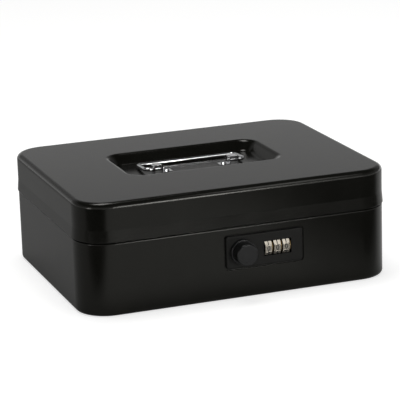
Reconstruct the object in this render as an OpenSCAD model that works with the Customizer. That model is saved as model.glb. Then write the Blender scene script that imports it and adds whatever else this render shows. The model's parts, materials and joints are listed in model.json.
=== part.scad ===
// Steel cash box with a lift-out coin tray, a folding bail handle and a three-wheel combination lock.
// Origin: centre of the flat base. X runs along the front, -Y is the front, +Z is up. Millimetres.

/* [Box] */
// Width of the box along the front
box_w = 250; // [230:1:300]
// Depth of the box, front to back
box_d = 196; // [180:1:240]
// Height of the closed box
box_h = 87; // [84:1:110]
// Radius of the upright corners, outside
corner_r = 25; // [20:1:32]
// Thickness of the sheet steel
sheet = 1; // [0.8:0.1:1.2]
// Height of the lower edge of the lid
seam_h = 57.2; // [55:0.1:60]
// Open gap between the shoulder of the box and the edge of the lid
seam_gap = 0.8; // [0.6:0.1:1.5]
// Radius of the lower edge of the box, outside
edge_r = 3; // [2:0.5:5]
// Radius of the upper edge of the lid, outside
lid_edge_r = 4.4; // [3:0.1:7]
// Radius of the shoulder below the lid
shoulder_r = 1.2; // [0.8:0.1:2]
// Height of the neck above the shoulder
neck_h = 6; // [5:0.5:7.5]
// Gap between the neck and the lid
neck_gap = 0.4; // [0.3:0.1:0.8]
// How far the edge of the lid flares outward
rim_flare = 0.7; // [0.3:0.1:1]
// Height over which the edge of the lid flares
rim_flare_h = 9; // [6:0.5:12]

/* [Handle recess] */
// Width of the recess in the lid
recess_w = 130; // [118:1:140]
// Depth of the recess, front to back
recess_d = 75; // [72:1:84]
// How far the recess lies behind the middle of the lid
recess_y = 5; // [0:0.5:10]
// How deep the recess is pressed
recess_depth = 8.2; // [8:0.1:10]
// Radius of the corners of the recess in plan
recess_corner_r = 15; // [14:0.5:18]
// Radius where the lid turns down into the recess
recess_rim_r = 4; // [2:0.5:5]
// Radius where the wall of the recess meets its floor
recess_foot_r = 3.5; // [2:0.5:4]

/* [Handle] */
// Diameter of the handle wire
wire_d = 3; // [2.5:0.1:3.4]
// Width of the handle, outside
bail_w = 85.6; // [80:0.2:92]
// Distance from the pivot to the middle of the grip
bail_reach = 22; // [19:0.5:24]
// Radius of the corners of the grip, middle of the wire
bail_corner_r = 4; // [3:0.5:6]
// Radius of the bend at each pivot, middle of the wire
bail_bend_r = 3; // [2.5:0.1:3.5]
// How far the pivots lie behind the middle of the lid
pivot_y = 1; // [-2:0.5:4]
// Height of the pivots above the floor of the recess
pivot_rise = 3.2; // [2.8:0.1:3.6]
// Gap between the resting grip and the floor of the recess
bail_rest_gap = 0.3; // [0.2:0.05:0.5]
// Distance between the middles of the two brackets
bracket_span = 63.5; // [60:0.5:66]
// Width of a bracket across its two legs
bracket_w = 7.5; // [7:0.1:8.5]
// Length of a bracket, front to back
bracket_d = 7.6; // [6.5:0.1:9]
// Height of a bracket above the floor of the recess
bracket_h = 6.8; // [6.4:0.1:7.4]
// Thickness of the bracket sheet
bracket_t = 0.9; // [0.7:0.1:1.1]
// Length of the foot that the rivet holds
foot_l = 8; // [7:0.5:10]
// Clearance round the handle wire in the brackets
pivot_gap = 0.08; // [0.05:0.01:0.1]
// Diameter of the shanks of the bracket rivets
rivet_d = 3; // [2.4:0.1:3.4]
// Diameter of the heads of the bracket rivets
rivet_head_d = 5.6; // [5:0.1:6.2]

/* [Lock plate] */
// Width of the lock plate
plate_w = 62; // [60:0.5:66]
// Height of the lock plate
plate_h = 25.4; // [24:0.2:28]
// How far the middle of the plate lies right of the middle of the box
plate_x = 17.8; // [10:0.2:24]
// Height of the middle of the plate
lock_z = 37.1; // [34:0.1:38]
// How far the plate stands out of the front
plate_proud = 1.4; // [1:0.1:2]
// Radius of the corners of the plate
plate_corner_r = 1.8; // [1.4:0.1:3]
// Radius of the front edge of the plate
plate_edge_r = 0.9; // [0.5:0.1:1.2]
// Depth of the pressed seat that the plate lies in
seat_depth = 1; // [0.6:0.1:1.2]
// Gap round the plate in its seat
seat_gap = 1.3; // [0.8:0.1:1.4]

/* [Number wheels] */
// Diameter of a wheel over its flats' corners
wheel_d = 15; // [14:0.1:15.6]
// Width of a wheel
wheel_w = 5.6; // [5.2:0.1:6.2]
// Distance from one wheel to the next
wheel_pitch = 7.2; // [7.1:0.05:7.6]
// How far the wheels stand out of the plate
wheel_proud = 2.2; // [1.6:0.1:2.6]
// Distance from the right end of the plate to the middle of the last wheel
wheel_inset = 14.1; // [13:0.1:15]
// Gap between a wheel and its window
window_gap = 0.35; // [0.25:0.05:0.5]
// Diameter of the axle of the wheels
axle_d = 3; // [2.6:0.1:3.4]
// Diameter of the sleeve inside each wheel
sleeve_d = 8; // [7:0.1:9]
// Diameter of the gate disc on each sleeve
gate_d = 12; // [11:0.1:12.6]
// Thickness of a gate disc
gate_t = 0.7; // [0.5:0.05:0.8]
// Running clearance of shafts in their holes, on the radius
run_gap = 0.06; // [0.04:0.01:0.09]

/* [Knob] */
// Diameter of the flange of the knob
knob_flange_d = 19.8; // [18:0.1:21]
// Thickness of the flange
knob_flange_t = 2.6; // [2:0.1:3.2]
// Diameter of the grip of the knob
knob_d = 17.2; // [16:0.1:18]
// How far the knob stands out of the plate
knob_h = 11.5; // [10:0.5:15]
// Radius of the front edge of the knob
knob_edge_r = 1.2; // [0.6:0.1:2]
// Distance from the left end of the plate to the middle of the knob
knob_inset = 12.9; // [12.4:0.1:14]
// Diameter of the hub of the knob
hub_d = 8; // [7:0.1:9]
// Gap between the knob and the plate
knob_gap = 0.2; // [0.15:0.05:0.4]
// Diameter of the spindle
spindle_d = 6; // [5.4:0.1:6.6]
// Width of the square end of the spindle
square_w = 4; // [3.6:0.1:4.2]
// Length of the latch tongue from the spindle
tongue_l = 14; // [13:0.1:15]
// Width of the latch tongue
tongue_w = 7; // [6.6:0.1:7.6]
// Thickness of the latch tongue
tongue_t = 2; // [1.5:0.1:2.4]

/* [Lock case] */
// Width of the lock case
case_w = 58.6; // [57:0.2:60]
// Height of the lock case
case_h = 22; // [20.6:0.2:23]
// Depth of the lock case behind the front
case_d = 14; // [13:0.2:16]
// Thickness of the cover of the lock case
cover_t = 1.8; // [1.5:0.1:2.2]
// Diameter of the shanks of the lock screws
screw_d = 2.8; // [2.4:0.1:3]
// Distance of the lock screws from the ends and edges of the case
screw_inset = 3.2; // [3:0.1:3.6]
// Travel of the code change lever
lever_travel = 4; // [3:0.5:5]

/* [Keeper] */
// Width of the keeper
keeper_w = 12; // [10:0.5:13]
// Thickness of the keeper
keeper_t = 1.2; // [1:0.1:1.5]
// Gap between the latch tongue and the keeper
keeper_gap = 0.6; // [0.5:0.05:0.8]
// Distance from the lock cover to the latch tongue
tongue_off = 2.4; // [2.2:0.1:3]

/* [Hinges] */
// Distance between the middles of the two hinges
hinge_span = 140; // [110:1:160]
// Length of a hinge
hinge_l = 42; // [36:1:50]
// Outside diameter of the hinge barrel
barrel_d = 4.8; // [4.4:0.1:5.2]
// Diameter of the hinge pin
pin_d = 2.2; // [1.8:0.1:2.4]
// How far the pin lies behind the back of the box
hinge_out = 0.9; // [0.7:0.1:1.2]
// Height of a hinge leaf
leaf_h = 16; // [14:0.5:18]
// Thickness of a hinge leaf
leaf_t = 1; // [0.8:0.1:1.1]
// Gap between the knuckles, and round the barrels
knuckle_gap = 0.4; // [0.3:0.05:0.6]
// Diameter of the hinge rivets
hinge_rivet_d = 3.2; // [2.8:0.1:3.6]

/* [Coin tray] */
// Gap between the tray and the neck of the box, at the sides and the front
tray_gap = 2.6; // [2:0.1:4]
// Gap between the tray and the neck of the box, at the back
tray_back_gap = 2.6; // [2.4:0.1:4]
// Height of the tray
tray_h = 30; // [26:0.5:32]
// Height of the top of the ledges that carry the tray
ledge_z = 29; // [26:0.5:30]
// Width of the ledges
ledge_w = 8; // [7:0.5:12]
// Length of the ledges
ledge_l = 100; // [80:1:120]
// Wall of the tray
tray_t = 1.6; // [1.2:0.1:2]
// Width of the rim of the tray
tray_rim = 3; // [2.5:0.1:4]
// Length of the coin cups, front to back
cup_l = 72; // [68:1:76]
// Number of coin cups
cups = 5; // [4:1:6]
// Gap between the tray and what it stands clear of at the front
notch_gap = 3; // [2:0.5:5]

/* [Hidden] */
$fn = 64;
eps = 0.01;

// Levels and faces of the box
front_y = -box_d / 2;
back_y = box_d / 2;
shoulder_z = seam_h - seam_gap;
neck_in = sheet + neck_gap;
neck_top = shoulder_z + neck_h;
inner_x = box_w / 2 - neck_in - sheet;
inner_y = box_d / 2 - neck_in - sheet;
hole_gap = 0.05;
rivet_tail_ratio = 0.72;

// Recess: its wall rises 4 for every 3 outward
slope_rise = 0.8;
slope_run = 0.6;
// How far flat pieces of one sheet run into each other
lap = 1;
recess_floor = box_h - recess_depth;

// Handle: it rests on its back, a little below level
pivot_z = recess_floor + pivot_rise;
rest_angle = asin((pivot_rise - wire_d / 2 - bail_rest_gap) / bail_reach);
arm_x = bail_w / 2 - wire_d / 2;
bracket_r = 1.4;
stub_out = 1.2;
rivet_x = (bracket_span - bracket_w) / 2 - foot_l / 2;
rivet_head_h = 1.4;
rivet_tail_h = 1;

// Lock: faces from front to back
seat_y = front_y + seat_depth;
wall_in_y = seat_y + sheet;
plate_y = front_y - plate_proud;
plate_t = plate_proud + seat_depth;
case_y = wall_in_y + case_d;
cover_y = case_y + cover_t;
knob_x = plate_x - plate_w / 2 + knob_inset;
case_x0 = plate_x - case_w / 2;
case_x1 = plate_x + case_w / 2;
screw_dx = case_w / 2 - screw_inset;
screw_dz = case_h / 2 - screw_inset;
screw_tip = 1.4;
screw_tip_gap = 0.2;
screw_head_d = 5.4;
screw_head_h = 1.3;
slot_w = 0.7;
slot_l = 3;
slot_deep = 0.8;

// Number wheels
wheels = 3;
digits = 10;
wheel_r = wheel_d / 2;
wheel_y = plate_y + wheel_r - wheel_proud;
wheel_gap = wheel_pitch - wheel_w;
flat_drop = 0.3;
flat_r = wheel_r - flat_drop;
groove_r = 0.45;
wheel_chamfer = 0.35;
axle_r = axle_d / 2;
case_gap = 0.6;
cave_x0 = wheel_x(0) - wheel_w / 2 - case_gap;
cave_x1 = wheel_x(wheels - 1) + wheel_w / 2 + wheel_gap + case_gap;
cave_h = wheel_d + 2 * case_gap;
axle_seat = 2.4;
key_w = 1.6;
key_h = 0.7;
gate_slot_w = 2.2;
gate_slot_h = 1.5;
finger_t = 0.6;
finger_h = 1.8;
finger_gap = 0.4;
comb_t = 1.4;
comb_h = 4;
comb_y = wheel_y + wheel_r + finger_gap;
comb_end_gap = 0.3;
comb_x0 = cave_x0 + comb_end_gap;
comb_x1 = cave_x1 - comb_end_gap;
coil_r = 1.7;
coil_wire = 0.5;
coil_turns = 3;
leaf_spring_t = 0.4;
leaf_spring_h = 3.6;
leaf_finger_w = 4;
detent_angle = 360 / digits;
lever_l = 12;
lever_h = 3.6;
lever_t = 1.2;
lever_tab_w = 2.4;
lever_tab_h = 2.4;
lever_tab_out = 2;
lever_gap = 0.2;
lever_x = wheel_x(1) - lever_l / 2;
lever_z = lock_z + cave_h / 2 - lever_gap - lever_h;

// Knob and latch
hub_back = 0.2;
flange_edge_r = 0.8;
spindle_in = 3;
tongue_y = cover_y + tongue_off;
tongue_boss_wall = 1;
tongue_boss_d = tongue_w + 2 * tongue_boss_wall;
clip_t = 0.8;
clip_gap = 0.2;
clip_d = 10;
groove_deep = 0.6;
groove_d = spindle_d - 2 * groove_deep;
tongue_screw_d = 2.4;
tongue_screw_l = 6;
tongue_head_d = 6.8;
tongue_head_h = 1.6;
keeper_y = tongue_y + tongue_t + keeper_gap;
keeper_side_gap = 1;
keeper_x1 = knob_x - tongue_boss_d / 2 - keeper_side_gap;
keeper_x0 = keeper_x1 - keeper_w;
lip_z = lock_z - tongue_w / 2 - keeper_gap;
keeper_rise = 3;
web_z = neck_top + keeper_rise;
keeper_top_gap = 5.2;
keeper_flange_h = box_h - lid_edge_r - keeper_top_gap - web_z;

// Hinges
hinge_y = back_y + hinge_out;
hinge_z = seam_h - seam_gap / 2;
barrel_r = barrel_d / 2;
knuckle_l = hinge_l / 3;
leaf_y = back_y - sheet - leaf_t;
leaf_rivet_inset = 4;
leaf_rivet_z = leaf_h - leaf_rivet_inset;
leaf_rivet_x = hinge_l / 3;
leaf_rivet_head_d = 5;
leaf_rivet_head_h = 1.1;
leaf_rivet_tail_h = 1;
pin_head_d = 3.6;
pin_head_t = 0.8;

// Tray
tray_x = inner_x - tray_gap;
tray_y0 = -inner_y + tray_gap;
tray_y1 = inner_y - tray_back_gap;
tray_seat_gap = 0.1;
tray_z = ledge_z + tray_seat_gap;
tray_r = corner_r - neck_in - sheet - tray_gap;
cup_sag = tray_h - tray_t;
cup_r = (cup_l * cup_l / 4 + cup_sag * cup_sag) / (2 * cup_sag);
cup_y = tray_y1 - tray_rim - cup_l / 2;
cup_front = cup_y - cup_l / 2;
notch_x0 = keeper_x0 - notch_gap;
notch_x1 = case_x1 + notch_gap;
notch_y = keeper_y + keeper_t + notch_gap;
ledge_flange_h = 10;

function wheel_x(i) = plate_x + plate_w / 2 - wheel_inset - (wheels - 1 - i) * wheel_pitch;

// Quarter of a ring from radius a to radius b
module quarter_ring(a, b, turn) {
    rotate(turn) intersection() {
        difference() {
            circle(b);
            circle(a);
        }
        square(b);
    }
}

// A section carried round a rounded rectangle; x = 0 of the section is the centre of a corner
module swept(w, d, r) {
    for (i = [0:3]) {
        side = (i == 0 || i == 3) ? 1 : -1;
        end = i < 2 ? 1 : -1;
        translate([side * (w / 2 - r), end * (d / 2 - r), 0])
            rotate([0, 0, 90 * i])
                rotate_extrude(angle = 90) children();
    }
    for (turn = [0, 180])
        rotate([0, 0, turn]) translate([w / 2 - r, d / 2 - r, 0])
            rotate([90, 0, 0]) linear_extrude(d - 2 * r) children();
    for (turn = [90, 270])
        rotate([0, 0, turn]) translate([d / 2 - r, w / 2 - r, 0])
            rotate([90, 0, 0]) linear_extrude(w - 2 * r) children();
}

// Flat outline with rounded corners
module round_rect(w, d, r) {
    square([w - 2 * r, d], center = true);
    square([w, d - 2 * r], center = true);
    for (x = [-1, 1], y = [-1, 1])
        translate([x * (w / 2 - r), y * (d / 2 - r)]) circle(r);
}

// Box given by its two corners
module block(a, b) {
    translate(a) cube(b - a);
}

// Rod along X, and rod along Y
module rod_x(x0, x1, y, z, r) {
    translate([x0, y, z]) rotate([0, 90, 0]) cylinder(h = x1 - x0, r = r);
}

module rod_y(y0, y1, x, z, r) {
    translate([x, y0, z]) rotate([-90, 0, 0]) cylinder(h = y1 - y0, r = r);
}

// Rivet standing on z = 0: domed head above, shank and flat tail below
module rivet(d, head_d, head_h, grip, tail_h) {
    cap_r = (head_d * head_d / 4 + head_h * head_h) / (2 * head_h);
    rotate_extrude() {
        intersection() {
            translate([0, head_h - cap_r]) circle(cap_r);
            square([head_d / 2, head_h]);
        }
        translate([0, -grip - tail_h / 2]) square([d / 2, grip + tail_h / 2 + head_h / 2]);
        translate([0, -grip - tail_h]) square([rivet_tail_ratio * head_d / 2, tail_h]);
    }
}

// Body of the box: a drawn tray with a shoulder and a neck that the lid slides over
module body_section() {
    difference() {
        union() {
            translate([0, edge_r]) square([corner_r, shoulder_z - shoulder_r - edge_r]);
            translate([0, edge_r]) square([corner_r - shoulder_r, shoulder_z - edge_r]);
            square([corner_r - edge_r, edge_r + eps]);
            translate([corner_r - edge_r, edge_r]) circle(edge_r);
            translate([corner_r - shoulder_r, shoulder_z - shoulder_r]) circle(shoulder_r);
            translate([0, edge_r]) square([corner_r - neck_in, neck_top - sheet / 2 - edge_r]);
        }
        translate([-1, edge_r])
            square([corner_r - sheet + 1, shoulder_z - sheet - edge_r]);
        translate([-1, sheet]) square([corner_r - edge_r + 1, edge_r]);
        translate([corner_r - edge_r, edge_r]) circle(edge_r - sheet);
        translate([-1, edge_r]) square([corner_r - neck_in - sheet + 1, neck_top]);
    }
    translate([corner_r - neck_in - sheet / 2, neck_top - sheet / 2]) circle(sheet / 2);
}

module lock_outline(grow, r) {
    translate([plate_x, lock_z]) round_rect(plate_w + 2 * grow, plate_h + 2 * grow, r);
}

// Extrudes a front outline (x, z) from y0 back to y1
module front_extrude(y0, y1) {
    translate([0, y1, 0]) rotate([90, 0, 0]) linear_extrude(y1 - y0) children();
}

module hinge_clear(z0, z1) {
    for (s = [-1, 1])
        block([s * hinge_span / 2 - hinge_l / 2 - pin_head_t - knuckle_gap, leaf_y - 1, z0],
            [s * hinge_span / 2 + hinge_l / 2 + pin_head_t + knuckle_gap, back_y + 2, z1]);
}

module leaf_rivet_holes(z) {
    for (s = [-1, 1], e = [-1, 1])
        rod_y(leaf_y - 1, back_y + 2, s * hinge_span / 2 + e * leaf_rivet_x, z,
            hinge_rivet_d / 2 + hole_gap);
}

module lock_screw_holes(y0, y1, r) {
    for (x = [-1, 1], z = [-1, 1])
        rod_y(y0, y1, plate_x + x * screw_dx, lock_z + z * screw_dz, r);
}

module body_shell() {
    color("#1c1c1c") difference() {
        union() {
            swept(box_w, box_d, corner_r) body_section();
            translate([corner_r - box_w / 2, corner_r - box_d / 2, 0])
                cube([box_w - 2 * corner_r, box_d - 2 * corner_r, sheet]);
            front_extrude(front_y + sheet / 2, wall_in_y)
                lock_outline(seat_gap + sheet, plate_corner_r + seat_gap + sheet);
        }
        front_extrude(front_y - 1, seat_y) lock_outline(seat_gap, plate_corner_r + seat_gap);
        block([cave_x0, front_y, lock_z - cave_h / 2],
            [cave_x1, wall_in_y + 1, lock_z + cave_h / 2]);
        rod_y(front_y, wall_in_y + 1, knob_x, lock_z, hub_d / 2 + case_gap);
        lock_screw_holes(front_y, wall_in_y + 1, screw_d / 2 + hole_gap);
        hinge_clear(hinge_z - barrel_r - knuckle_gap, neck_top + 1);
        leaf_rivet_holes(hinge_z - leaf_rivet_z);
    }
}

// Angle welded inside each end wall; the tray stands on it
module tray_ledge(side) {
    wall_x = box_w / 2 - sheet;
    color("#242424") mirror([side < 0 ? 1 : 0, 0, 0]) {
        block([wall_x - ledge_w, -ledge_l / 2, ledge_z - sheet], [wall_x, ledge_l / 2, ledge_z]);
        block([wall_x - sheet, -ledge_l / 2, ledge_z - ledge_flange_h],
            [wall_x, ledge_l / 2, ledge_z]);
    }
}

module tray_ledge_left() tray_ledge(-1);
module tray_ledge_right() tray_ledge(1);

// Front plate of the lock with the bore for the knob and one window for the wheels
module plate_section() {
    square([plate_corner_r, plate_t - plate_edge_r]);
    square([plate_corner_r - plate_edge_r, plate_t]);
    translate([plate_corner_r - plate_edge_r, plate_t - plate_edge_r]) circle(plate_edge_r);
}

module lock_plate() {
    color("#202020") difference() {
        translate([plate_x, seat_y, lock_z]) rotate([90, 0, 0]) {
            swept(plate_w, plate_h, plate_corner_r) plate_section();
            translate([plate_corner_r - plate_w / 2, plate_corner_r - plate_h / 2, 0])
                cube([plate_w - 2 * plate_corner_r, plate_h - 2 * plate_corner_r, plate_t]);
        }
        rod_y(plate_y - 1, seat_y + 1, knob_x, lock_z, hub_d / 2 + run_gap);
        rod_x(wheel_x(0) - wheel_w / 2 - window_gap,
            wheel_x(wheels - 1) + wheel_w / 2 + wheel_gap + window_gap,
            wheel_y, lock_z, wheel_r + window_gap);
        lock_screw_holes(seat_y - screw_tip - screw_tip_gap, seat_y + 1, screw_d / 2 + hole_gap);
    }
}

module lock_case() {
    color("#2b2b2b") difference() {
        block([case_x0, wall_in_y, lock_z - case_h / 2], [case_x1, case_y, lock_z + case_h / 2]);
        block([cave_x0, wall_in_y - 1, lock_z - cave_h / 2],
            [cave_x1, case_y + 1, lock_z + cave_h / 2]);
        rod_x(cave_x0 - axle_seat, case_x1 + 1, wheel_y, lock_z, axle_r + run_gap);
        rod_y(wall_in_y - 1, wall_in_y + hub_back + 1, knob_x, lock_z, hub_d / 2 + case_gap);
        rod_y(wall_in_y - 1, case_y + 1, knob_x, lock_z, spindle_d / 2 + run_gap);
        lock_screw_holes(wall_in_y - 1, case_y + 1, screw_d / 2 + hole_gap);
    }
}

module lock_cover() {
    tab_x = lever_x + (lever_l - lever_travel - lever_tab_w) / 2;
    tab_z = lever_z + (lever_h - lever_tab_h) / 2;
    color("#333333") difference() {
        block([case_x0, case_y, lock_z - case_h / 2], [case_x1, cover_y, lock_z + case_h / 2]);
        rod_y(case_y - 1, cover_y + 1, knob_x, lock_z, spindle_d / 2 + run_gap);
        lock_screw_holes(case_y - 1, cover_y + 1, screw_d / 2 + hole_gap);
        for (x = [-1, 1], z = [-1, 1])
            translate([plate_x + x * screw_dx, cover_y + eps, lock_z + z * screw_dz])
                rotate([90, 0, 0])
                    cylinder(h = screw_head_h + eps, r1 = screw_head_d / 2 + hole_gap,
                        r2 = screw_d / 2 + hole_gap);
        block([tab_x - lever_gap, case_y - 1, tab_z - lever_gap],
            [tab_x + lever_tab_w + lever_travel + lever_gap, cover_y + 1,
                tab_z + lever_tab_h + lever_gap]);
    }
}

// Four countersunk screws from the cover into the back of the plate
module lock_screws() {
    tip_y = seat_y - screw_tip;
    color("#9a9a9a") for (x = [-1, 1], z = [-1, 1])
        translate([plate_x + x * screw_dx, cover_y, lock_z + z * screw_dz]) difference() {
            rotate([90, 0, 0]) {
                cylinder(h = cover_y - tip_y, r = screw_d / 2);
                cylinder(h = screw_head_h, r1 = screw_head_d / 2, r2 = screw_d / 2);
            }
            for (turn = [0, 90])
                rotate([0, turn, 0]) translate([-slot_l / 2, -slot_deep, -slot_w / 2])
                    cube([slot_l, slot_deep + 1, slot_w]);
        }
}

module wheel_axle() {
    color("#b0b0b0")
        rod_x(cave_x0 - axle_seat + run_gap, case_x1, wheel_y, lock_z, axle_r);
}

// Wheel with ten flats and a groove at each corner between them
module number_wheel(i) {
    color("#c9c6bd") translate([wheel_x(i), wheel_y, lock_z]) rotate([0, 90, 0]) difference() {
        intersection() {
            cylinder(h = wheel_w, r = flat_r / cos(180 / digits), center = true, $fn = digits);
            rotate_extrude() {
                translate([0, wheel_chamfer - wheel_w / 2])
                    square([wheel_r, wheel_w - 2 * wheel_chamfer]);
                translate([0, -wheel_w / 2]) polygon([
                    [0, 0],
                    [wheel_r - wheel_chamfer, 0],
                    [wheel_r, wheel_chamfer],
                    [wheel_r, wheel_w - wheel_chamfer],
                    [wheel_r - wheel_chamfer, wheel_w],
                    [0, wheel_w]
                ]);
            }
        }
        for (k = [0:digits - 1])
            rotate([0, 0, k * 360 / digits]) translate([wheel_r + groove_r / 2, 0, 0])
                cylinder(h = wheel_w + 1, r = groove_r, center = true);
        cylinder(h = wheel_w + 1, r = sleeve_d / 2 + hole_gap, center = true);
        translate([sleeve_d / 2 - 1, -key_w / 2 - hole_gap, -wheel_w])
            cube([1 + key_h + hole_gap, key_w + 2 * hole_gap, 2 * wheel_w]);
    }
}

module number_wheel_1() number_wheel(0);
module number_wheel_2() number_wheel(1);
module number_wheel_3() number_wheel(2);

// Sleeve keyed into a wheel; its notched disc stands beside the wheel
module gate_sleeve(i) {
    x0 = wheel_x(i) - wheel_w / 2;
    disc_x = x0 + wheel_w + (wheel_gap - gate_t) / 2;
    color("#a58a4a") difference() {
        union() {
            rod_x(x0, disc_x + eps, wheel_y, lock_z, sleeve_d / 2);
            rod_x(disc_x, disc_x + gate_t, wheel_y, lock_z, gate_d / 2);
            block([x0, wheel_y - key_w / 2, lock_z - sleeve_d / 2 - key_h],
                [x0 + wheel_w, wheel_y + key_w / 2, lock_z]);
        }
        rod_x(x0 - 1, disc_x + gate_t + 1, wheel_y, lock_z, axle_r + run_gap);
        block([disc_x - eps, wheel_y + gate_d / 2 - gate_slot_h, lock_z - gate_slot_w / 2],
            [disc_x + gate_t + 1, wheel_y + gate_d, lock_z + gate_slot_w / 2]);
    }
}

module gate_sleeve_1() gate_sleeve(0);
module gate_sleeve_2() gate_sleeve(1);
module gate_sleeve_3() gate_sleeve(2);

// Leaf on the cover with one finger for each wheel
module detent_spring() {
    z0 = lock_z - cave_h / 2 + lever_gap;
    reach = wheel_r + leaf_spring_t + finger_gap / 2;
    tip = [wheel_y + reach * cos(detent_angle), lock_z - reach * sin(detent_angle)];
    root = [case_y - leaf_spring_t, z0 + leaf_spring_h / 2];
    run = norm(tip - root);
    pitch_angle = atan2(tip[1] - root[1], root[0] - tip[0]);
    color("#c0a860") {
        block([cave_x0 + case_gap, case_y - leaf_spring_t, z0],
            [cave_x1 - case_gap, case_y, z0 + leaf_spring_h]);
        for (i = [0:wheels - 1])
            translate([wheel_x(i) - leaf_finger_w / 2, root[0] + leaf_spring_t / 2, root[1]])
                rotate([-pitch_angle, 0, 0]) translate([0, -run, -leaf_spring_t / 2])
                    cube([leaf_finger_w, run, leaf_spring_t]);
    }
}

// Comb that drops into the gates when all three stand in line
module fence_comb() {
    color("#8f8f8f") {
        block([comb_x0, comb_y, lock_z - comb_h / 2], [comb_x1, comb_y + comb_t, lock_z + comb_h / 2]);
        for (i = [0:wheels - 1])
            translate([wheel_x(i) + (wheel_w + wheel_gap) / 2, 0, 0])
                block([-finger_t / 2, wheel_y + gate_d / 2 + finger_gap, lock_z - finger_h / 2],
                    [finger_t / 2, comb_y + eps, lock_z + finger_h / 2]);
    }
}

// Open coil between the comb and the cover
module fence_spring() {
    sides = 6;
    steps = 12 * coil_turns;
    y0 = comb_y + comb_t + coil_wire / 2 + hole_gap;
    y1 = case_y - coil_wire / 2 - hole_gap;
    function ring(k) = let (
        t = k / steps,
        turn = 360 * coil_turns * t,
        y = y0 + (y1 - y0) * t
    ) [for (s = [0:sides - 1]) let (
        a = 360 * s / sides,
        r = coil_r + coil_wire / 2 * cos(a)
    ) [r * cos(turn), y + coil_wire / 2 * sin(a), r * sin(turn)]];
    points = [for (k = [0:steps]) each ring(k)];
    skin = [for (k = [0:steps - 1], s = [0:sides - 1]) let (
        a = k * sides + s,
        b = k * sides + (s + 1) % sides
    ) [a, b, b + sides, a + sides]];
    ends = [
        [for (s = [sides - 1:-1:0]) s],
        [for (s = [0:sides - 1]) steps * sides + s]
    ];
    color("#b8b8b8") translate([wheel_x(1), 0, lock_z])
        polyhedron(points = points, faces = concat(skin, ends));
}

module code_change_lever() {
    tab_x = lever_x + (lever_l - lever_travel - lever_tab_w) / 2;
    tab_z = lever_z + (lever_h - lever_tab_h) / 2;
    color("#d8d8d8") {
        block([lever_x, case_y - lever_gap - lever_t, lever_z],
            [lever_x + lever_l, case_y - lever_gap, lever_z + lever_h]);
        block([tab_x, case_y - lever_gap - eps, tab_z],
            [tab_x + lever_tab_w, cover_y + lever_tab_out, tab_z + lever_tab_h]);
    }
}

module knob_section() {
    top = knob_h;
    flange_top = knob_gap + knob_flange_t;
    flange_r = knob_flange_d / 2;
    grip_r = knob_d / 2;
    translate([0, knob_gap]) square([flange_r, knob_flange_t - flange_edge_r]);
    square([flange_r - flange_edge_r, flange_top]);
    translate([flange_r - flange_edge_r, flange_top - flange_edge_r]) circle(flange_edge_r);
    square([grip_r, top - knob_edge_r]);
    square([grip_r - knob_edge_r, top]);
    translate([grip_r - knob_edge_r, top - knob_edge_r]) circle(knob_edge_r);
}

// Turning knob: flange, round grip and a hub in the plate
module knob() {
    hub_l = wall_in_y - hub_back - plate_y;
    color("#181818") translate([knob_x, plate_y, lock_z]) rotate([90, 0, 0]) difference() {
        union() {
            rotate_extrude() difference() {
                knob_section();
                translate([-1, -1]) square([knob_flange_d, 1 + knob_gap]);
            }
            translate([0, 0, -hub_l]) cylinder(h = hub_l + knob_gap + eps, r = hub_d / 2);
        }
        translate([0, 0, -hub_l - 1])
            cylinder(h = hub_l + 1 + knob_h - spindle_in, r = spindle_d / 2 + hole_gap / 2);
    }
}

// Round spindle with a groove for the clip, a square end and a threaded hole
module knob_spindle() {
    tip = plate_y - knob_h + spindle_in + hole_gap;
    end = tongue_y + tongue_t - hole_gap;
    clip_y = cover_y + clip_gap;
    color("#a8a8a8") difference() {
        union() {
            rod_y(tip, tongue_y, knob_x, lock_z, spindle_d / 2);
            block([knob_x - square_w / 2, tongue_y - eps, lock_z - square_w / 2],
                [knob_x + square_w / 2, end, lock_z + square_w / 2]);
        }
        difference() {
            rod_y(clip_y - hole_gap, clip_y + clip_t + hole_gap, knob_x, lock_z, spindle_d);
            rod_y(clip_y - 1, clip_y + clip_t + 1, knob_x, lock_z, groove_d / 2);
        }
        rod_y(end - tongue_screw_l - screw_tip_gap, end + 1, knob_x, lock_z, tongue_screw_d / 2 + hole_gap);
    }
}

module spindle_clip() {
    y0 = cover_y + clip_gap;
    color("#7a7a7a") difference() {
        rod_y(y0, y0 + clip_t, knob_x, lock_z, clip_d / 2);
        rod_y(y0 - 1, y0 + clip_t + 1, knob_x, lock_z, groove_d / 2 + hole_gap);
        block([knob_x - groove_d / 2 - hole_gap, y0 - 1, lock_z - clip_d],
            [knob_x + groove_d / 2 + hole_gap, y0 + clip_t + 1, lock_z]);
    }
}

module latch_tongue() {
    color("#b4b4b4") difference() {
        union() {
            rod_y(tongue_y, tongue_y + tongue_t, knob_x, lock_z, tongue_boss_d / 2);
            block([knob_x - tongue_w / 2, tongue_y, lock_z],
                [knob_x + tongue_w / 2, tongue_y + tongue_t, lock_z + tongue_l - tongue_w / 2]);
            rod_y(tongue_y, tongue_y + tongue_t, knob_x, lock_z + tongue_l - tongue_w / 2,
                tongue_w / 2);
        }
        block([knob_x - square_w / 2 - hole_gap, tongue_y - 1, lock_z - square_w / 2 - hole_gap],
            [knob_x + square_w / 2 + hole_gap, tongue_y + tongue_t + 1,
                lock_z + square_w / 2 + hole_gap]);
    }
}

module tongue_screw() {
    y0 = tongue_y + tongue_t;
    color("#9a9a9a") difference() {
        union() {
            rod_y(y0 - tongue_screw_l, y0 + eps, knob_x, lock_z, tongue_screw_d / 2);
            rod_y(y0, y0 + tongue_head_h, knob_x, lock_z, tongue_head_d / 2);
        }
        for (turn = [0, 90])
            translate([knob_x, y0 + tongue_head_h, lock_z]) rotate([0, turn, 0])
                translate([-slot_l / 2, -slot_deep, -slot_w / 2])
                    cube([slot_l, slot_deep + 1, slot_w]);
    }
}

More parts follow.
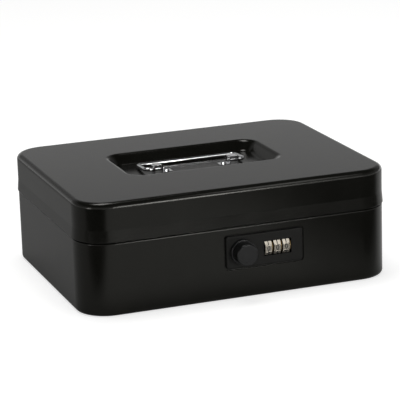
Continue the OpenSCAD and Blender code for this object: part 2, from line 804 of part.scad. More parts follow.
// Hinge leaves: the body leaf carries the two outer knuckles, the lid leaf the middle one
module knuckle(x, l) {
    difference() {
        rod_x(x - l / 2, x + l / 2, hinge_y, hinge_z, barrel_r);
        rod_x(x - l, x + l, hinge_y, hinge_z, pin_d / 2 + run_gap);
    }
}

module hinge_leaf(x, up) {
    own = up > 0 ? [0] : [-1, 1];
    other = up > 0 ? [-1, 1] : [0];
    own_l = knuckle_l - knuckle_gap;
    clear_l = knuckle_l + knuckle_gap;
    plate_z = up > 0 ? hinge_z : hinge_z - leaf_h;
    band_z = up > 0 ? hinge_z + barrel_r - leaf_t : hinge_z - barrel_r;
    color("#8c8c8c") {
        difference() {
            union() {
                block([x - hinge_l / 2, leaf_y, plate_z],
                    [x + hinge_l / 2, leaf_y + leaf_t, plate_z + leaf_h]);
                for (k = own)
                    block([x + k * knuckle_l - own_l / 2, leaf_y, band_z],
                        [x + k * knuckle_l + own_l / 2, hinge_y, band_z + leaf_t]);
            }
            for (k = other)
                block([x + k * knuckle_l - clear_l / 2 - knuckle_gap / 2, leaf_y - 1,
                        hinge_z - barrel_r - knuckle_gap],
                    [x + k * knuckle_l + clear_l / 2 + knuckle_gap / 2, hinge_y,
                        hinge_z + barrel_r + knuckle_gap]);
            for (e = [-1, 1])
                rod_y(leaf_y - 1, back_y, x + e * leaf_rivet_x, hinge_z + up * leaf_rivet_z,
                    hinge_rivet_d / 2 + hole_gap);
            rod_x(x - hinge_l, x + hinge_l, hinge_y, hinge_z, barrel_r - leaf_t / 2);
        }
        for (k = own) knuckle(x + k * knuckle_l, own_l);
    }
}

module body_leaf_left() hinge_leaf(-hinge_span / 2, -1);
module body_leaf_right() hinge_leaf(hinge_span / 2, -1);
module lid_leaf_left() hinge_leaf(-hinge_span / 2, 1);
module lid_leaf_right() hinge_leaf(hinge_span / 2, 1);

module hinge_pin(x) {
    half = hinge_l / 2 - knuckle_gap / 2;
    color("#a0a0a0") {
        rod_x(x - half, x + half + eps, hinge_y, hinge_z, pin_d / 2);
        for (e = [-1, 1])
            rod_x(x + e * half + (e < 0 ? -pin_head_t : 0), x + e * half + (e < 0 ? 0 : pin_head_t),
                hinge_y, hinge_z, pin_head_d / 2);
    }
}

module hinge_pin_left() hinge_pin(-hinge_span / 2);
module hinge_pin_right() hinge_pin(hinge_span / 2);

module leaf_rivets(z) {
    color("#6e6e6e") for (s = [-1, 1], e = [-1, 1])
        translate([s * hinge_span / 2 + e * leaf_rivet_x, back_y, z]) rotate([-90, 0, 0])
            rivet(hinge_rivet_d, leaf_rivet_head_d, leaf_rivet_head_h, sheet + leaf_t,
                leaf_rivet_tail_h);
}

module body_leaf_rivets() leaf_rivets(hinge_z - leaf_rivet_z);
module lid_leaf_rivets() leaf_rivets(hinge_z + leaf_rivet_z);

// Lid: a drawn cover with a flared edge and a recess pressed into its top
module lid_section() {
    flare_z = seam_h + rim_flare_h;
    rim_z = seam_h + sheet / 2;
    translate([0, box_h - sheet]) square([corner_r - lid_edge_r, sheet]);
    translate([corner_r - lid_edge_r, box_h - lid_edge_r])
        quarter_ring(lid_edge_r - sheet, lid_edge_r, 0);
    translate([corner_r - sheet, flare_z]) square([sheet, box_h - lid_edge_r - flare_z]);
    polygon([
        [corner_r - sheet, flare_z],
        [corner_r, flare_z],
        [corner_r + rim_flare, rim_z],
        [corner_r + rim_flare - sheet, rim_z]
    ]);
    translate([corner_r + rim_flare - sheet / 2, rim_z]) circle(sheet / 2);
}

// Part of a ring, from straight down round to where the wall of the recess starts
module slope_ring(a, b) {
    intersection() {
        difference() {
            circle(b);
            circle(a);
        }
        polygon([[0, 0], [0, -2 * b], [2 * b * slope_rise, -2 * b * slope_run]]);
    }
}

module recess_section() {
    bends = recess_foot_r + recess_rim_r;
    wall_rise = recess_depth - (1 - slope_run) * bends;
    foot_x = recess_corner_r - slope_rise * bends - wall_rise * slope_run / slope_rise;
    foot = [foot_x, recess_floor + recess_foot_r];
    rim = [recess_corner_r, box_h - recess_rim_r];
    side = [slope_rise, -slope_run];
    translate([0, recess_floor - sheet]) square([foot_x, sheet]);
    translate(foot) slope_ring(recess_foot_r, recess_foot_r + sheet);
    polygon([
        foot + recess_foot_r * side,
        foot + (recess_foot_r + sheet) * side,
        rim - (recess_rim_r - sheet) * side,
        rim - recess_rim_r * side
    ]);
    translate(rim) rotate(180) slope_ring(recess_rim_r - sheet, recess_rim_r);
    translate([recess_corner_r, box_h - sheet]) square([2 * lap, sheet]);
}

module lid_shell() {
    core_w = box_w - 2 * corner_r + 2 * lap;
    core_d = box_d - 2 * corner_r + 2 * lap;
    pan_w = recess_w - 2 * recess_corner_r + 2 * lap;
    pan_d = recess_d - 2 * recess_corner_r + 2 * lap;
    color("#1c1c1c") difference() {
        union() {
            swept(box_w, box_d, corner_r) lid_section();
            translate([0, 0, box_h - sheet]) linear_extrude(sheet) difference() {
                square([core_w, core_d], center = true);
                translate([0, recess_y])
                    round_rect(recess_w + 2 * lap, recess_d + 2 * lap, recess_corner_r + lap);
            }
            translate([0, recess_y, 0]) {
                swept(recess_w, recess_d, recess_corner_r) recess_section();
                translate([-pan_w / 2, -pan_d / 2, recess_floor - sheet])
                    cube([pan_w, pan_d, sheet]);
            }
        }
        hinge_clear(seam_h - 1, hinge_z + barrel_r + knuckle_gap);
        leaf_rivet_holes(hinge_z + leaf_rivet_z);
        for (s = [-1, 1])
            translate([s * rivet_x, pivot_y, recess_floor - 2 * sheet])
                cylinder(h = 3 * sheet, r = rivet_d / 2 + hole_gap);
    }
}

// Hooked strip welded inside the front of the lid; the tongue turns over its lip
module lid_keeper() {
    wall = front_y + sheet;
    back = keeper_y + keeper_t;
    color("#9c9c9c") {
        block([keeper_x0, wall, web_z], [keeper_x1, wall + keeper_t, web_z + keeper_flange_h]);
        block([keeper_x0, wall, web_z], [keeper_x1, back, web_z + keeper_t]);
        block([keeper_x0, keeper_y, lip_z - keeper_t], [keeper_x1, back, web_z + keeper_t]);
        block([keeper_x0, tongue_y, lip_z - keeper_t], [keeper_x1, back, lip_z]);
    }
}

// Bracket: a folded clip, open underneath, with a foot toward the middle of the lid
module bracket_section() {
    half = bracket_w / 2;
    difference() {
        union() {
            translate([-half, 0]) square([bracket_w, bracket_h - bracket_r]);
            translate([bracket_r - half, 0]) square([bracket_w - 2 * bracket_r, bracket_h]);
            for (s = [-1, 1])
                translate([s * (half - bracket_r), bracket_h - bracket_r]) circle(bracket_r);
            translate([-half - foot_l, 0]) square([foot_l + eps, bracket_t]);
        }
        translate([bracket_t - half, -1])
            square([bracket_w - 2 * bracket_t, bracket_h - bracket_t + 1]);
    }
}

module handle_bracket(side) {
    color("#c8c8c4") mirror([side < 0 ? 1 : 0, 0, 0]) difference() {
        translate([bracket_span / 2, pivot_y, recess_floor])
            rotate([90, 0, 0]) linear_extrude(bracket_d, center = true) bracket_section();
        rod_x(rivet_x, bracket_span, pivot_y, pivot_z, wire_d / 2 + pivot_gap);
        translate([rivet_x, pivot_y, recess_floor - 1])
            cylinder(h = bracket_t + 2, r = rivet_d / 2 + hole_gap);
    }
}

module handle_bracket_left() handle_bracket(-1);
module handle_bracket_right() handle_bracket(1);

module bracket_rivets() {
    color("#d2d2ce") for (s = [-1, 1])
        translate([s * rivet_x, pivot_y, recess_floor + bracket_t])
            rivet(rivet_d, rivet_head_d, rivet_head_h, bracket_t + sheet, rivet_tail_h);
}

// Bail: one wire with a straight grip, two arms and ends turned inward through the brackets
module bail_handle() {
    r = wire_d / 2;
    stub_x = (bracket_span - bracket_w) / 2 - stub_out;
    color("#c9c9c5") translate([0, pivot_y, pivot_z]) rotate([-rest_angle, 0, 0]) {
        rod_x(bail_corner_r - arm_x, arm_x - bail_corner_r, bail_reach, 0, r);
        for (s = [0, 1]) mirror([s, 0, 0]) {
            translate([arm_x - bail_corner_r, bail_reach - bail_corner_r, 0])
                rotate_extrude(angle = 90) translate([bail_corner_r, 0]) circle(r);
            rod_y(bail_bend_r, bail_reach - bail_corner_r, arm_x, 0, r);
            translate([arm_x - bail_bend_r, bail_bend_r, 0]) rotate([0, 0, -90])
                rotate_extrude(angle = 90) translate([bail_bend_r, 0]) circle(r);
            rod_x(stub_x, arm_x - bail_bend_r, 0, 0, r);
        }
    }
}

// Coin tray: a moulded pan with scooped coin cups at the back and a notch for the lock
module tray_section() {
    wall = tray_r - tray_rim;
    translate([wall, 0]) square([tray_t, tray_h]);
    translate([wall, tray_h - tray_t]) square([tray_rim, tray_t]);
    square([wall + tray_t, tray_t]);
}

module cup_rod(r) {
    rod_x(-tray_x, tray_x, cup_y, tray_t + cup_r, r);
}

// Outline of the wall of the tray, this far in from its outer face
module tray_outline(inset) {
    rim = tray_rim - tray_t + inset;
    translate([0, (tray_y0 + tray_y1) / 2])
        round_rect(2 * (tray_x - rim), tray_y1 - tray_y0 - 2 * rim, tray_r - rim);
}

module coin_tray() {
    wall_x = tray_x - tray_rim;
    span_y = tray_y1 - tray_y0;
    cup_w = 2 * wall_x / cups;
    cup_back = cup_y + cup_l / 2;
    color("#3a3a3c") translate([0, 0, tray_z]) {
        difference() {
            translate([0, (tray_y0 + tray_y1) / 2, 0]) {
                swept(2 * tray_x, span_y, tray_r) tray_section();
                translate([tray_r - tray_x, tray_r - span_y / 2, 0])
                    cube([2 * (tray_x - tray_r), span_y - 2 * tray_r, tray_t]);
            }
            intersection() {
                translate([0, 0, -1]) linear_extrude(1 + tray_t + eps) tray_outline(tray_t);
                block([-tray_x, cup_front, -1], [tray_x, cup_back, tray_t + eps]);
            }
            block([notch_x0, tray_y0 - 1, -1], [notch_x1, notch_y, tray_h + 1]);
        }
        intersection() {
            linear_extrude(tray_h) tray_outline(tray_t / 2);
            union() {
                difference() {
                    cup_rod(cup_r + tray_t);
                    cup_rod(cup_r);
                    block([-tray_x, tray_y0, 0], [tray_x, cup_front - tray_t, tray_h]);
                }
                intersection() {
                    cup_rod(cup_r + tray_t);
                    for (k = [1:cups - 1])
                        block([k * cup_w - wall_x - tray_t / 2, cup_front - eps, 0],
                            [k * cup_w - wall_x + tray_t / 2, tray_y1, tray_h]);
                }
            }
        }
        block([-wall_x - eps, cup_front - tray_t, 0], [wall_x + eps, cup_front, tray_h]);
        for (x = [notch_x0 - tray_t, notch_x1])
            block([x, tray_y0 + tray_rim - tray_t, 0],
                [x + tray_t, cup_front - tray_t / 2, tray_h]);
        block([notch_x0 - tray_t, notch_y, 0], [notch_x1 + tray_t, notch_y + tray_t, tray_h]);
    }
}

body_shell();
tray_ledge_left();
tray_ledge_right();
lock_plate();
lock_case();
lock_cover();
lock_screws();
wheel_axle();
number_wheel_1();
number_wheel_2();
number_wheel_3();
gate_sleeve_1();
gate_sleeve_2();
gate_sleeve_3();
detent_spring();
fence_comb();
fence_spring();
code_change_lever();
knob();
knob_spindle();
spindle_clip();
latch_tongue();
tongue_screw();
body_leaf_left();
body_leaf_right();
lid_leaf_left();
lid_leaf_right();
hinge_pin_left();
hinge_pin_right();
body_leaf_rivets();
lid_leaf_rivets();
lid_shell();
lid_keeper();
handle_bracket_left();
handle_bracket_right();
bracket_rivets();
bail_handle();
coin_tray();
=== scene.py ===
import json
import math

import bmesh
import bpy
from mathutils import Matrix, Vector


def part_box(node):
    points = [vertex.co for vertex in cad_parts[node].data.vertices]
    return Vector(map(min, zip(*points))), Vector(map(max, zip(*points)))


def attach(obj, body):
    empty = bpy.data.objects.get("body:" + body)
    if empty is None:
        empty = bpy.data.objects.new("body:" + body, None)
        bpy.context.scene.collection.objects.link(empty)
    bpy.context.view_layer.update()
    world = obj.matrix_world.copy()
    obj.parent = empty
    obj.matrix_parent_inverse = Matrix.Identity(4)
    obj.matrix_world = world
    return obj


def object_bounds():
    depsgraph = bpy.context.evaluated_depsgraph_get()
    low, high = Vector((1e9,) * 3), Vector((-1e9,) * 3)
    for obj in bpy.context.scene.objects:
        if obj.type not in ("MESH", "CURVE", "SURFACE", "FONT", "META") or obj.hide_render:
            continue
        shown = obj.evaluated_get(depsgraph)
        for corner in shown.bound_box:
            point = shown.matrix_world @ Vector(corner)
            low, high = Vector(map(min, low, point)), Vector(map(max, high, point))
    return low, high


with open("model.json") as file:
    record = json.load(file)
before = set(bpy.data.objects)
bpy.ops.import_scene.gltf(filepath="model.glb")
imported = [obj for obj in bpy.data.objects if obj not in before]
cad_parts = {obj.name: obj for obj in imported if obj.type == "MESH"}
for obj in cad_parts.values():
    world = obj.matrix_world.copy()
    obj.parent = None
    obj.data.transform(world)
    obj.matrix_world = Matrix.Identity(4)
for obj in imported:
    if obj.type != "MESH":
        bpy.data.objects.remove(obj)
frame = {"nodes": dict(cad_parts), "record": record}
cad_low, cad_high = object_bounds()

MM = 0.001
WHITE = (1, 1, 1, 1)
scene = bpy.context.scene
pieces = frame["nodes"]
slot_of = {part["node"]: part["material_slot"] for part in frame["record"]["subparts"]}


# ---------------------------------------------------------------- node helpers

NOISE_SPAN = (0.3, 0.7)    # most of a noise lies between these
BEVEL_SAMPLES = 4
# The sockets of a mix node, which have the same names for numbers and colours.
NUMBER_A, NUMBER_B, NUMBER_OUT = 2, 3, 0
COLOUR_A, COLOUR_B, COLOUR_OUT = 6, 7, 2


class Nodes:
    """Adds nodes to one cleared tree. Every method after feed returns output sockets."""

    def __init__(self, tree):
        self.tree = tree
        self.tree.nodes.clear()

    def node(self, kind, **settings):
        made = self.tree.nodes.new(kind)
        for key, value in settings.items():
            setattr(made, key, value)
        return made

    def feed(self, socket, value):
        """Links a socket, or sets a plain value."""
        if isinstance(value, bpy.types.NodeSocket):
            self.tree.links.new(value, socket)
        else:
            socket.default_value = value

    def math(self, operation, a, b=0.0):
        made = self.node("ShaderNodeMath", operation=operation)
        self.feed(made.inputs[0], a)
        self.feed(made.inputs[1], b)
        return made.outputs[0]

    def scale(self, value, low_in, high_in, low=0.0, high=1.0, curve="LINEAR"):
        """Maps a number from one range to another, held at both ends."""
        ranged = self.node("ShaderNodeMapRange", interpolation_type=curve)
        for key, number in zip(("From Min", "From Max", "To Min", "To Max"),
                               (low_in, high_in, low, high)):
            ranged.inputs[key].default_value = number
        self.feed(ranged.inputs["Value"], value)
        return ranged.outputs["Result"]

    def between(self, share, first, second):
        """Mixes two numbers."""
        mix = self.node("ShaderNodeMix")
        self.feed(mix.inputs["Factor"], share)
        self.feed(mix.inputs[NUMBER_A], first)
        self.feed(mix.inputs[NUMBER_B], second)
        return mix.outputs[NUMBER_OUT]

    def blend(self, share, first, second):
        """Mixes two colours."""
        mix = self.node("ShaderNodeMix", data_type="RGBA")
        self.feed(mix.inputs["Factor"], share)
        for index, colour in ((COLOUR_A, first), (COLOUR_B, second)):
            if isinstance(colour, tuple):
                colour = (*colour, 1.0)
            self.feed(mix.inputs[index], colour)
        return mix.outputs[COLOUR_OUT]

    def split(self, vector):
        """The X, Y and Z of a vector."""
        parts = self.node("ShaderNodeSeparateXYZ")
        self.feed(parts.inputs[0], vector)
        return parts.outputs

    def ray_kinds(self):
        """Two outputs: 1 for what the camera sees directly, and 1 for gloss and what is seen through glass."""
        path = self.node("ShaderNodeLightPath")
        mirrored = self.math("MAXIMUM", path.outputs["Is Glossy Ray"], path.outputs["Is Transmission Ray"])
        return path.outputs["Is Camera Ray"], mirrored


class Shader(Nodes):
    """Builds one material. Every method but finish returns an output socket."""

    def __init__(self, name):
        self.material = bpy.data.materials.new(name)
        self.material.use_nodes = True
        super().__init__(self.material.node_tree)
        self.place = self.node("ShaderNodeTexCoord").outputs["Object"]

    def noise(self, size, detail=2.0, rough=0.5, stretch=(1, 1, 1)):
        """Noise whose features are about size across, and longer on an axis whose stretch is under 1."""
        mapping = self.node("ShaderNodeMapping")
        mapping.inputs["Scale"].default_value = stretch
        self.feed(mapping.inputs["Vector"], self.place)
        noise = self.node("ShaderNodeTexNoise")
        noise.inputs["Scale"].default_value = 1.0 / size
        noise.inputs["Detail"].default_value = detail
        noise.inputs["Roughness"].default_value = rough
        self.feed(noise.inputs["Vector"], mapping.outputs[0])
        return noise.outputs["Fac"]

    def cells(self, size):
        """Round cells about size across."""
        voronoi = self.node("ShaderNodeTexVoronoi")
        voronoi.inputs["Scale"].default_value = 1.0 / size
        self.feed(voronoi.inputs["Vector"], self.place)
        return voronoi.outputs["Distance"]

    def spread(self, noise, low, high):
        """Maps most of a noise onto the range from low to high."""
        return self.scale(noise, *NOISE_SPAN, low, high)

    def bump(self, height, depth, strength, normal=None):
        """Normals of a bumpy surface, on top of other normals where they are given."""
        made = self.node("ShaderNodeBump")
        made.inputs["Strength"].default_value = strength
        made.inputs["Distance"].default_value = depth
        self.feed(made.inputs["Height"], height)
        if normal is not None:
            self.feed(made.inputs["Normal"], normal)
        return made.outputs["Normal"]

    def rounded(self, radius):
        """Normals that round the sharp edges by a small radius."""
        made = self.node("ShaderNodeBevel", samples=BEVEL_SAMPLES)
        made.inputs["Radius"].default_value = radius
        return made.outputs["Normal"]

    def finish(self, **sockets):
        """The material, with a Principled surface that has these inputs."""
        surface = self.node("ShaderNodeBsdfPrincipled")
        for key, value in sockets.items():
            if isinstance(value, tuple):
                value = (*value, 1.0)
            self.feed(surface.inputs[key.replace("_", " ")], value)
        output = self.node("ShaderNodeOutputMaterial")
        self.feed(output.inputs["Surface"], surface.outputs[0])
        return self.material


# ---------------------------------------------------------------- materials

# The dark and the pale colour of each uneven surface.
SHELL_COLOURS = (0.0034, 0.0034, 0.0026), (0.0050, 0.0050, 0.0039)
PLATE_COLOURS = (0.0042, 0.0042, 0.0041), (0.0062, 0.0062, 0.0060)
KNOB_COLOURS = (0.0040, 0.0040, 0.0041), (0.0065, 0.0065, 0.0064)
TRAY_COLOURS = (0.018, 0.018, 0.019), (0.026, 0.026, 0.027)
INK_COLOURS = (0.006, 0.006, 0.006), (0.03, 0.03, 0.028)

PAINT_GLOSS_TINT = (1.0, 0.99, 0.93)
PAINT_EDGE = 0.5 * MM          # radius that rounds the edges of the painted shells
DUST_COLOUR = (0.20, 0.19, 0.18)
DUST_SHARE = 0.05              # how far a speck of dust covers the paint
RING_PITCH = 0.45 * MM         # of the turned rings on the knob
METAL_EDGE = 0.12 * MM         # and of the metal pieces
METAL_UNEVEN = (0.85, 1.2)     # shares of its roughness that a metal varies between


def shell_paint():
    """Satin black powder coat: fine orange peel, faint handling marks and dust."""
    s = Shader("satin_black_paint")
    peel = s.noise(1.1 * MM, detail=3.0)
    waves = s.noise(9 * MM, detail=1.0)
    smear = s.noise(38 * MM, detail=4.0, rough=0.6)
    dust = s.scale(s.noise(0.7 * MM, detail=1.0), 0.66, 0.8)
    colour = s.blend(s.scale(smear, 0.35, 0.7), *SHELL_COLOURS)
    colour = s.blend(s.math("MULTIPLY", dust, DUST_SHARE), colour, DUST_COLOUR)
    rough = s.math("ADD", s.scale(smear, 0.3, 0.75, 0.18, 0.22), s.spread(peel, -0.02, 0.02))
    normal = s.bump(peel, depth=0.006 * MM, strength=0.6, normal=s.rounded(PAINT_EDGE))
    normal = s.bump(waves, depth=0.012 * MM, strength=0.5, normal=normal)
    return s.finish(Base_Color=colour, Roughness=rough, Normal=normal, Specular_IOR_Level=0.30,
                    Specular_Tint=PAINT_GLOSS_TINT)


def plate_paint():
    """Fine textured black on the lock plate."""
    s = Shader("textured_black_paint")
    grit = s.noise(0.55 * MM, detail=4.0, rough=0.6)
    patches = s.noise(14 * MM, detail=2.0)
    colour = s.blend(s.spread(patches, 0.0, 1.0), *PLATE_COLOURS)
    rough = s.spread(grit, 0.42, 0.56)
    normal = s.bump(grit, depth=0.018 * MM, strength=0.7)
    return s.finish(Base_Color=colour, Roughness=rough, Normal=normal, Specular_IOR_Level=0.22,
                    Specular_Tint=PAINT_GLOSS_TINT)


def knob_rings(s):
    """Rings round the knob's axis, as heights from 0 to 1."""
    low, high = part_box("knob")
    place = s.split(s.place)
    dx = s.math("SUBTRACT", place["X"], (low.x + high.x) / 2)
    dz = s.math("SUBTRACT", place["Z"], (low.z + high.z) / 2)
    radius = s.math("SQRT", s.math("ADD", s.math("MULTIPLY", dx, dx), s.math("MULTIPLY", dz, dz)))
    wave = s.math("SINE", s.math("MULTIPLY", radius, 2 * math.pi / RING_PITCH))
    return s.scale(wave, -1.0, 1.0)


def knob_plastic():
    """Moulded black plastic with turned rings on its face and a fine grain."""
    s = Shader("moulded_black_plastic")
    grain = s.noise(0.35 * MM, detail=2.0)
    smear = s.noise(6 * MM, detail=3.0)
    colour = s.blend(s.scale(smear, 0.35, 0.7), *KNOB_COLOURS)
    rough = s.spread(smear, 0.26, 0.36)
    normal = s.bump(knob_rings(s), depth=0.004 * MM, strength=0.5)
    normal = s.bump(grain, depth=0.008 * MM, strength=0.5, normal=normal)
    return s.finish(Base_Color=colour, Roughness=rough, Normal=normal, Specular_IOR_Level=0.34)


def metal(name, colour, rough, brush=(1, 1, 1), brush_depth=0.004 * MM, tint=0.12, grain=0.6 * MM):
    """Plated or bare metal: brushed along one way or with a fine grain, slightly uneven."""
    s = Shader(name)
    lines = s.noise(grain, detail=4.0, rough=0.65, stretch=brush)
    smear = s.noise(7 * MM, detail=3.0)
    dark = tuple(c * (1 - tint) for c in colour)
    mixed = s.blend(s.spread(smear, 0.0, 1.0), dark, colour)
    least, most = (rough * share for share in METAL_UNEVEN)
    uneven = s.math("ADD", s.spread(smear, least, most), s.spread(lines, -0.04, 0.04))
    normal = s.bump(lines, depth=brush_depth, strength=0.5, normal=s.rounded(METAL_EDGE))
    return s.finish(Base_Color=mixed, Metallic=1.0, Roughness=uneven, Normal=normal)


def tray_plastic():
    """Black moulded tray with a fine spark-eroded grain."""
    s = Shader("grained_black_plastic")
    grain = s.cells(0.9 * MM)
    fine = s.noise(0.3 * MM, detail=2.0)
    smear = s.noise(25 * MM, detail=3.0)
    colour = s.blend(s.scale(smear, 0.35, 0.7), *TRAY_COLOURS)
    rough = s.spread(fine, 0.46, 0.6)
    normal = s.bump(grain, depth=0.03 * MM, strength=0.5)
    normal = s.bump(fine, depth=0.01 * MM, strength=0.4, normal=normal)
    return s.finish(Base_Color=colour, Roughness=rough, Normal=normal, Specular_IOR_Level=0.45)


def figure_ink():
    """Black filling of the figures on the wheels."""
    s = Shader("figure_ink")
    worn = s.noise(0.5 * MM, detail=3.0)
    colour = s.blend(s.scale(worn, 0.4, 0.75), *INK_COLOURS)
    return s.finish(Base_Color=colour, Roughness=s.spread(worn, 0.35, 0.55))


FINISHES = {
    "shell_paint": shell_paint(),
    "plate_paint": plate_paint(),
    "knob_plastic": knob_plastic(),
    "wheel_metal": metal("satin_plated_wheel", (0.36, 0.33, 0.28), 0.26, brush=(0.1, 1, 1)),
    "sleeve_brass": metal("oiled_brass", (0.16, 0.11, 0.05), 0.42, brush=(1, 0.2, 0.2)),
    "lock_zinc": metal("cast_zinc", (0.42, 0.42, 0.44), 0.5, brush_depth=0.02 * MM, tint=0.25,
                       grain=0.9 * MM),
    "plain_steel": metal("zinc_plated_steel", (0.55, 0.55, 0.54), 0.34, brush=(0.2, 1, 1), tint=0.2),
    "spring_steel": metal("spring_steel", (0.48, 0.46, 0.42), 0.3),
    "handle_chrome": metal("bright_chrome", (0.78, 0.78, 0.79), 0.09, brush_depth=0.0015 * MM, tint=0.08),
    "tray_plastic": tray_plastic(),
}

for name, piece in pieces.items():
    piece.data.materials.clear()
    piece.data.materials.append(FINISHES[slot_of[name]])


# ---------------------------------------------------------------- figures on the number wheels

WHEELS = ("number_wheel_1", "number_wheel_2", "number_wheel_3")
FIGURES = 10
FIGURE_SIZE = 5.2 * MM       # font size; a figure is about 0.7 of it high
FIGURE_STROKE = 0.10 * MM    # added to each side of a stroke
FIGURE_DEPTH = 0.05 * MM
FRONT_BAND = 1.5 * MM        # faces this near the axle's height are searched for the front flat


def figure_mesh(digit):
    """One figure as a flat, slightly raised mesh, centred and facing +Z."""
    curve = bpy.data.curves.new("figure", "FONT")
    curve.body = str(digit)
    curve.size = FIGURE_SIZE
    curve.extrude = FIGURE_DEPTH / 2
    curve.offset = FIGURE_STROKE
    curve.align_x = "CENTER"
    curve.align_y = "CENTER"
    carrier = bpy.data.objects.new("figure", curve)
    mesh = bpy.data.meshes.new_from_object(carrier)
    bpy.data.objects.remove(carrier)
    bpy.data.curves.remove(curve)
    return mesh


def flat_radius(wheel, middle):
    """Distance of the front flat from the axle."""
    piece = pieces[wheel]
    centres = [piece.matrix_world @ face.center for face in piece.data.polygons]
    return max(middle.y - centre.y for centre in centres if abs(centre.z - middle.z) < FRONT_BAND)


def add_figures(wheel, ink):
    """The figures 0 to 9 round one wheel, each in the middle of its flat; 0 faces the front."""
    low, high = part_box(wheel)
    middle = (low + high) / 2
    stand = Matrix.Rotation(math.pi / 2, 4, "X")
    lift = Matrix.Translation((0, 0, flat_radius(wheel, middle) + FIGURE_DEPTH / 2))
    form = bmesh.new()
    for digit in range(FIGURES):
        turn = Matrix.Rotation(-math.tau * digit / FIGURES, 4, "X")
        mesh = figure_mesh(digit)
        mesh.transform(Matrix.Translation(middle) @ turn @ stand @ lift)
        form.from_mesh(mesh)
        bpy.data.meshes.remove(mesh)
    name = wheel.replace("number_wheel", "wheel_figures")
    figures = bpy.data.objects.new(name, bpy.data.meshes.new(name))
    form.to_mesh(figures.data)
    form.free()
    figures.data.materials.append(ink)
    scene.collection.objects.link(figures)
    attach(figures, wheel.replace("number_", ""))


ink = figure_ink()
for wheel in WHEELS:
    add_figures(wheel, ink)


# ---------------------------------------------------------------- camera

LENS_MM = 182.64
SENSOR_MM = 36.0
AZIMUTH = math.radians(-19.807)
ELEVATION = math.radians(15.464)
ROLL = math.radians(-1.84)
DISTANCE = 1.61443
SIDEWAYS = -2.34 * MM        # how far right of the picture's middle the aim lies,
UPWARD = -8.87 * MM          # and how far above it
AIM = Vector((0, 0, 43.37 * MM))
VIEW_DEPTH = 50


def add_camera():
    """The photo's camera, as fitted to the box's outline, corners and lock."""
    back = Vector((math.sin(AZIMUTH) * math.cos(ELEVATION),
                   -math.cos(AZIMUTH) * math.cos(ELEVATION),
                   math.sin(ELEVATION)))
    level = Vector((math.cos(AZIMUTH), math.sin(AZIMUTH), 0))
    rise = back.cross(level)
    right = math.cos(ROLL) * level + math.sin(ROLL) * rise
    up = -math.sin(ROLL) * level + math.cos(ROLL) * rise
    place = AIM + back * DISTANCE - SIDEWAYS * right - UPWARD * up
    data = bpy.data.cameras.new("camera")
    data.lens = LENS_MM
    data.sensor_width = SENSOR_MM
    data.clip_end = VIEW_DEPTH
    camera = bpy.data.objects.new("camera", data)
    scene.collection.objects.link(camera)
    camera.matrix_world = Matrix.Translation(place) @ Matrix((right, up, back)).transposed().to_4x4()
    scene.camera = camera


add_camera()


# ---------------------------------------------------------------- floor

FLOOR_SIZE = 12.0
FLOOR_COLOUR = (0.56, 0.56, 0.555)
FLOOR_MOTTLE = 0.985       # brightness of the floor's darker patches against the rest
MOTTLE_SIZE = 0.4
FLOOR_GLOW = 0.62          # lifts the floor to white for the camera
FLOOR_GLOSS_GLOW = 0.10    # and a little for reflections
# Painted shade and painted light on the floor, seen only in reflections; how bright the floor is painted
# there, from place to place:
CORNER_PAINTED_SHADE = 0.02         # in front of the box and past its left end,
LEFT_PAINTED_SHADE = 0.50           # along its left side,
REAR_PAINTED_LIGHT = 1.8            # behind it and along its right side,
RIGHT_PAINTED_SHADE = 0.06          # and in front of it, past its right end; 1 close before its middle,
FAR_PAINTED_LIGHT = 1.3             # and more farther out
FAR = 350 * MM             # how far in front of the box that is
RIGHT_FADE = (62 * MM, 152 * MM)    # the x from which and to which RIGHT_PAINTED_SHADE comes in
TONE_EDGE = 50 * MM        # width over which one changes into the next


def front_tone(s, x, y):
    """Painted shade and painted light of the floor in front of the box, seen in reflections."""
    past_left = s.scale(x, cad_low.x - TONE_EDGE, cad_low.x)
    outward = s.scale(y, cad_low.y - FAR, cad_low.y, FAR_PAINTED_LIGHT, 1.0)
    right_end = s.math("MULTIPLY", outward, s.scale(x, *RIGHT_FADE, 1.0, RIGHT_PAINTED_SHADE))
    return s.between(past_left, CORNER_PAINTED_SHADE, right_end)


def rear_tone(s, x, y):
    """Painted shade and painted light of the floor beside and behind the box, seen in reflections."""
    past_left = s.scale(x, cad_low.x, cad_low.x + TONE_EDGE)
    past_front = s.scale(y, cad_low.y, cad_low.y + TONE_EDGE)
    return s.scale(s.math("MULTIPLY", past_left, past_front), 0.0, 1.0, LEFT_PAINTED_SHADE, REAR_PAINTED_LIGHT)


def mirrored_tone(s):
    """Painted shade and painted light on the floor in reflections, place by place, standing in for dark cards
    round the box.
    """
    place = s.split(s.place)
    x, y = place["X"], place["Y"]
    behind_front = s.scale(y, cad_low.y - TONE_EDGE, cad_low.y)
    return s.between(behind_front, front_tone(s, x, y), rear_tone(s, x, y))


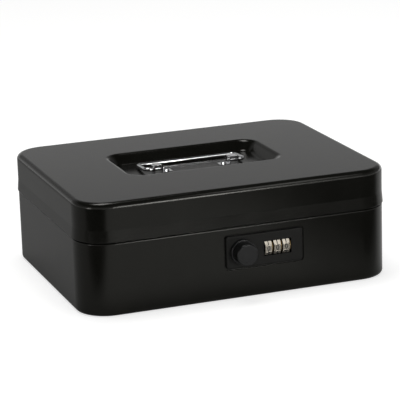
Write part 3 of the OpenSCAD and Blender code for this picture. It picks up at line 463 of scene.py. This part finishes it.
def floor_material():
    """Pale floor, a little uneven: white to the camera, with painted shade and painted light place by place in
    reflections.
    """
    s = Shader("pale_floor")
    mottle = s.spread(s.noise(MOTTLE_SIZE, detail=2.0), 0.0, 1.0)
    colour = s.blend(mottle, tuple(c * FLOOR_MOTTLE for c in FLOOR_COLOUR), FLOOR_COLOUR)
    seen, mirrored = s.ray_kinds()
    # painted shade and painted light, seen only in reflections
    painted_shading = mirrored_tone(s)
    diffuse = s.node("ShaderNodeBsdfDiffuse")
    s.feed(diffuse.inputs["Color"], s.blend(s.between(mirrored, 1.0, painted_shading), (0, 0, 0), colour))
    # a glow seen only in reflections, toned by the same painted shade and light
    painted_reflection_glow = s.math("MULTIPLY", s.math("MULTIPLY", mirrored, FLOOR_GLOSS_GLOW), painted_shading)
    glow = s.node("ShaderNodeEmission")
    s.feed(glow.inputs["Color"], WHITE)
    s.feed(glow.inputs["Strength"], s.math("ADD", s.math("MULTIPLY", seen, FLOOR_GLOW), painted_reflection_glow))
    both = s.node("ShaderNodeAddShader")
    s.feed(both.inputs[0], diffuse.outputs[0])
    s.feed(both.inputs[1], glow.outputs[0])
    output = s.node("ShaderNodeOutputMaterial")
    s.feed(output.inputs["Surface"], both.outputs[0])
    return s.material


def add_floor():
    h = FLOOR_SIZE / 2
    mesh = bpy.data.meshes.new("floor")
    mesh.from_pydata([(-h, -h, 0), (h, -h, 0), (h, h, 0), (-h, h, 0)], [], [(0, 1, 2, 3)])
    mesh.materials.append(floor_material())
    floor = bpy.data.objects.new("floor", mesh)
    scene.collection.objects.link(floor)


add_floor()


# ---------------------------------------------------------------- world

FILL = 0.50                # light from all round
WALL = 1.0                 # the white round the stage, as the camera sees it
CEILING = 0.01             # the dark room above it, in reflections
# The room in reflections. Each part has its brightness, and the sines of the height angles at which it
# starts to fade and at which the next part is all there is: wall, then grey, then the ceiling.
BACK_WALL = (0.85, 0.04, 0.36)
FRONT_WALL = (2.2, 0.05, 0.15)
GREY = (0.25, 0.48, 0.70)
BACK_WAY = (-0.94, 0.34, 0.0)     # direction of the back wall's middle; the front one faces it
WALL_SIDES = (-0.60, -0.05)       # how far along it a direction turns from the front wall to the back one


def faded(n, height, light, start, end, above):
    """A brightness that changes to another one with height."""
    return n.between(n.scale(height, start, end, curve="SMOOTHSTEP"), light, above)


def mirrored_room(n):
    """Brightness of the room in reflections: two walls, grey above them, and a dark ceiling."""
    direction = n.node("ShaderNodeTexCoord").outputs["Generated"]
    height = n.split(direction)["Z"]
    grey = faded(n, height, *GREY, CEILING)
    back = faded(n, height, *BACK_WALL, grey)
    front = faded(n, height, *FRONT_WALL, grey)
    along = n.node("ShaderNodeVectorMath", operation="DOT_PRODUCT")
    n.feed(along.inputs[0], direction)
    n.feed(along.inputs[1], BACK_WAY)
    behind = n.scale(along.outputs["Value"], *WALL_SIDES, curve="SMOOTHSTEP")
    return n.between(behind, front, back)


def add_world():
    """White all round for the camera, a room with a dark ceiling in reflections, and even fill light."""
    world = bpy.data.worlds.new("studio")
    world.use_nodes = True
    n = Nodes(world.node_tree)
    seen, mirrored = n.ray_kinds()
    unseen = n.between(mirrored, FILL, mirrored_room(n))
    light = n.node("ShaderNodeBackground")
    n.feed(light.inputs["Color"], WHITE)
    n.feed(light.inputs["Strength"], n.between(seen, unseen, WALL))
    output = n.node("ShaderNodeOutputWorld")
    n.feed(output.inputs["Surface"], light.outputs[0])
    scene.world = world


add_world()


# ---------------------------------------------------------------- lamps

BOX_AIM = (0, 0, 0.05)               # a point a little above the middle of the box
LOCK_AIM = (0.027, -0.10, 0.037)     # about the middle of the lock


def add_lamp(name, place, aim, width, height, power):
    """A rectangular lamp that the camera doesn't see."""
    data = bpy.data.lights.new(name, "AREA")
    data.shape = "RECTANGLE"
    data.size = width
    data.size_y = height
    data.energy = power
    lamp = bpy.data.objects.new(name, data)
    scene.collection.objects.link(lamp)
    lamp.visible_camera = False
    lamp.location = place
    lamp.rotation_euler = (Vector(aim) - Vector(place)).to_track_quat("-Z", "Y").to_euler()


add_lamp("overhead_softbox", (-0.1, 0.15, 1.4), BOX_AIM, width=0.7, height=0.5, power=8)
add_lamp("front_strip", (0.40, -1.42, 0.26), BOX_AIM, width=0.17, height=0.32, power=3.2)
add_lamp("left_strip", (-1.35, -0.60, 0.22), BOX_AIM, width=0.25, height=0.25, power=2.0)
add_lamp("lock_card", (0.142, -0.287, 0.31), LOCK_AIM, width=0.12, height=0.12, power=0.12)

scene.view_settings.view_transform = "Standard"
